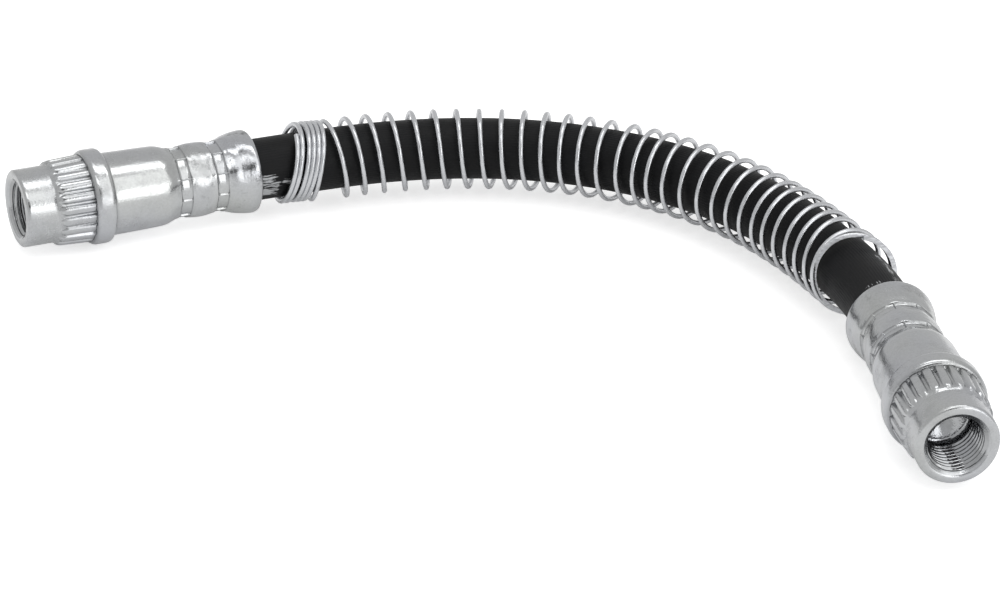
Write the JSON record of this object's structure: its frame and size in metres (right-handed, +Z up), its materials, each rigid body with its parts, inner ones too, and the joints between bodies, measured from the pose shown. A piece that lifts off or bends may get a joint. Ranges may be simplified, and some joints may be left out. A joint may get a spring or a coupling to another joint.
{
  "type": "brake hose",
  "caption": "Short rubber hydraulic brake hose with two straight crimped steel end fittings, female-threaded and splined behind the nose, and a loose steel guard spring around the bent hose.",
  "frame": {"origin": "under the middle of the footprint, on the surface that the two collars rest on", "axes": "+Z up, away from the surface that the hose lies on. The bend of the hose bows towards +Y, and the fittings' mouths point to -X and -Y"},
  "size_m": [0.1664, 0.1187, 0.017],
  "materials": {
    "zinc_plated_steel": "satin zinc plating",
    "hose_rubber": "satin, with fine ribs along the hose",
    "spring_wire": "satin drawn wire"
  },
  "bodies": {
    "root": {"left_fitting": "zinc_plated_steel", "right_fitting": "zinc_plated_steel", "hose": "hose_rubber", "guard_spring": "spring_wire"}
  },
  "joints": []
}
